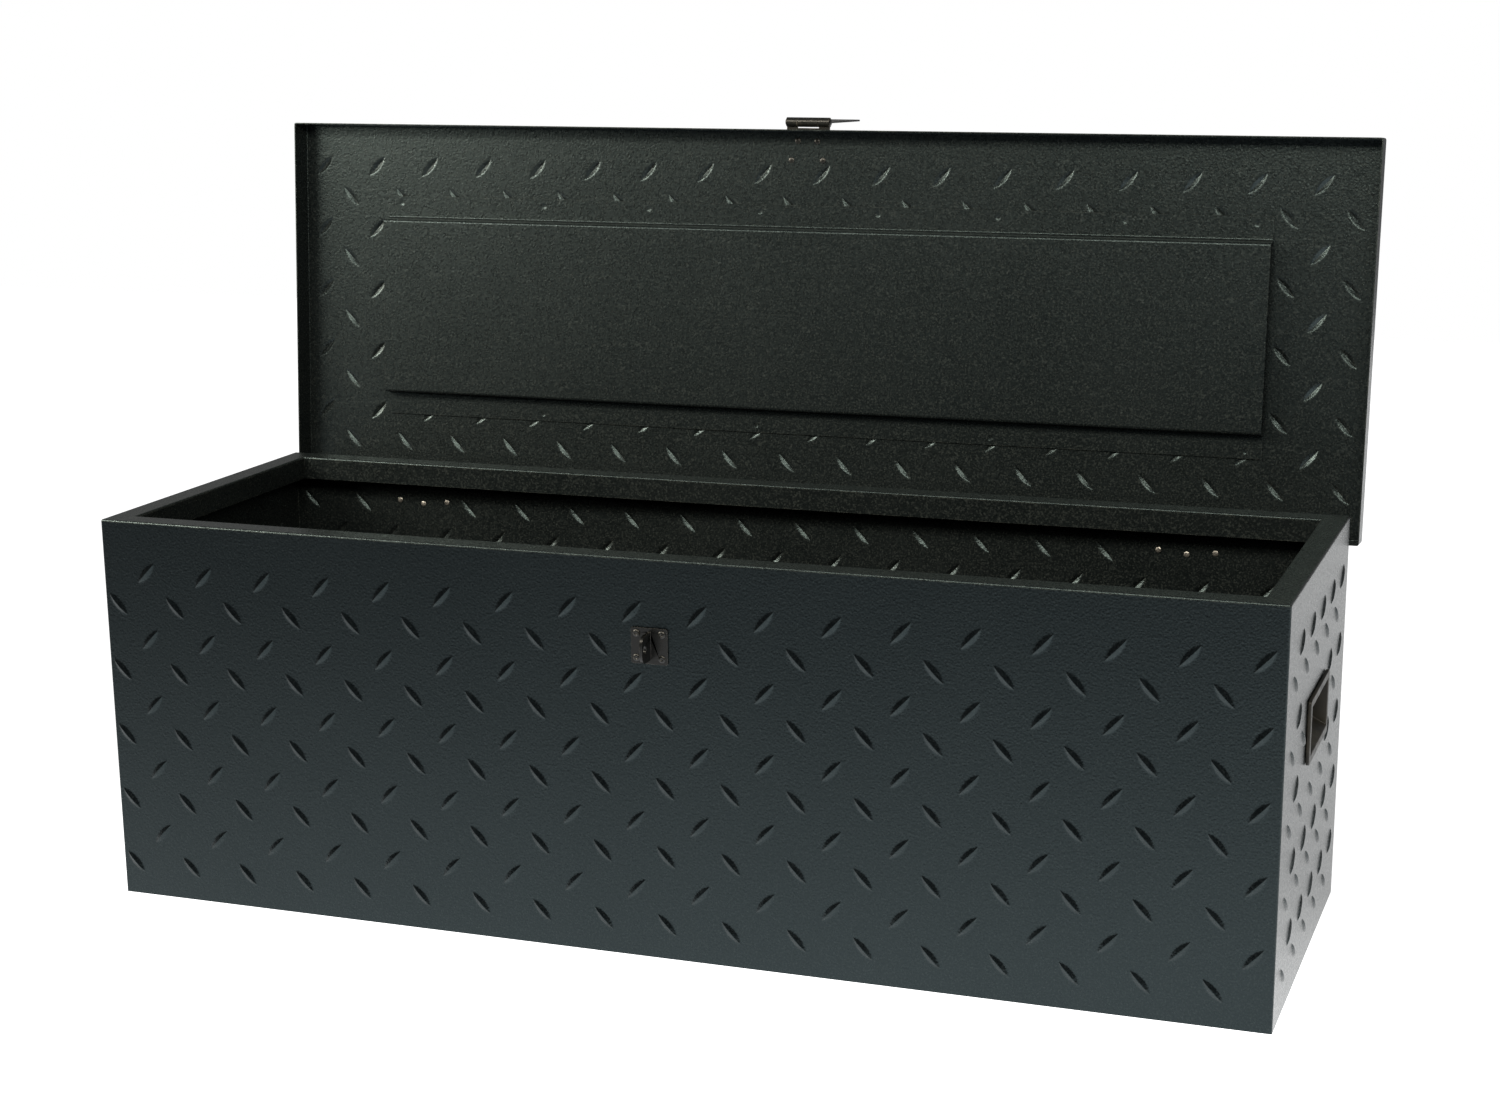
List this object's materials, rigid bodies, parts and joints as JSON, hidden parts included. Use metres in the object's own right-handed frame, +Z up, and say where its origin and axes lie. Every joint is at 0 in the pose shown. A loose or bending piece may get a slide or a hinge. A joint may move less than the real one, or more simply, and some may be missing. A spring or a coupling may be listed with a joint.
{
  "type": "truck tool box",
  "caption": "Long steel tread-plate truck tool chest with a full hinged lid standing open, a hasp and staple for a padlock and a recessed handle in each end.",
  "frame": {"origin": "middle of the floor pan's underside, on the surface that the chest stands on", "axes": "+X along the chest to its right end as seen from the front, +Y towards the hinged rear wall, +Z up"},
  "size_m": [1.234, 0.6276, 0.7944],
  "materials": {
    "powder_coat": "fine textured charcoal powder coat",
    "black_hardware": "semi-gloss black paint",
    "black_plastic": "matte black",
    "rivet_steel": "dull bright zinc"
  },
  "bodies": {
    "box": {"front_panel": "powder_coat", "rear_panel": "powder_coat", "left_end_panel": "powder_coat", "right_end_panel": "powder_coat", "floor_panel": "powder_coat", "left_handle": "black_plastic", "right_handle": "black_plastic", "staple": "black_hardware", "hinge_box_leaf_left": "black_hardware", "hinge_box_leaf_right": "black_hardware", "hinge_pin_left": "black_hardware", "hinge_pin_right": "black_hardware", "box_leaf_rivet_left_1": "rivet_steel", "box_leaf_rivet_left_2": "rivet_steel", "box_leaf_rivet_left_3": "rivet_steel", "box_leaf_rivet_right_1": "rivet_steel", "box_leaf_rivet_right_2": "rivet_steel", "box_leaf_rivet_right_3": "rivet_steel", "staple_rivet_1": "rivet_steel", "staple_rivet_2": "rivet_steel", "staple_rivet_3": "rivet_steel", "staple_rivet_4": "rivet_steel"},
    "lid": {"lid_panel": "powder_coat", "lid_stiffener": "powder_coat", "hinge_lid_leaf_left": "black_hardware", "hinge_lid_leaf_right": "black_hardware", "hasp_leaf": "black_hardware", "hasp_pin": "black_hardware", "lid_leaf_rivet_left_1": "rivet_steel", "lid_leaf_rivet_left_2": "rivet_steel", "lid_leaf_rivet_left_3": "rivet_steel", "lid_leaf_rivet_right_1": "rivet_steel", "lid_leaf_rivet_right_2": "rivet_steel", "lid_leaf_rivet_right_3": "rivet_steel", "hasp_rivet_1": "rivet_steel", "hasp_rivet_2": "rivet_steel", "hasp_rivet_3": "rivet_steel", "hasp_rivet_4": "rivet_steel"},
    "strap": {"hasp_strap": "black_hardware"}
  },
  "joints": [
    {"name": "lid_hinge", "type": "hinge", "parent": "box", "child": "lid", "pos_m": [0, 0.21, 0.3685], "axis": [1, 0, 0], "range_deg": [0, 94.3]},
    {"name": "hasp_hinge", "type": "hinge", "parent": "lid", "child": "strap", "pos_m": [0, 0.2834, 0.78918], "axis": [1, 0, 0], "range_deg": [-75, 177.7]}
  ]
}
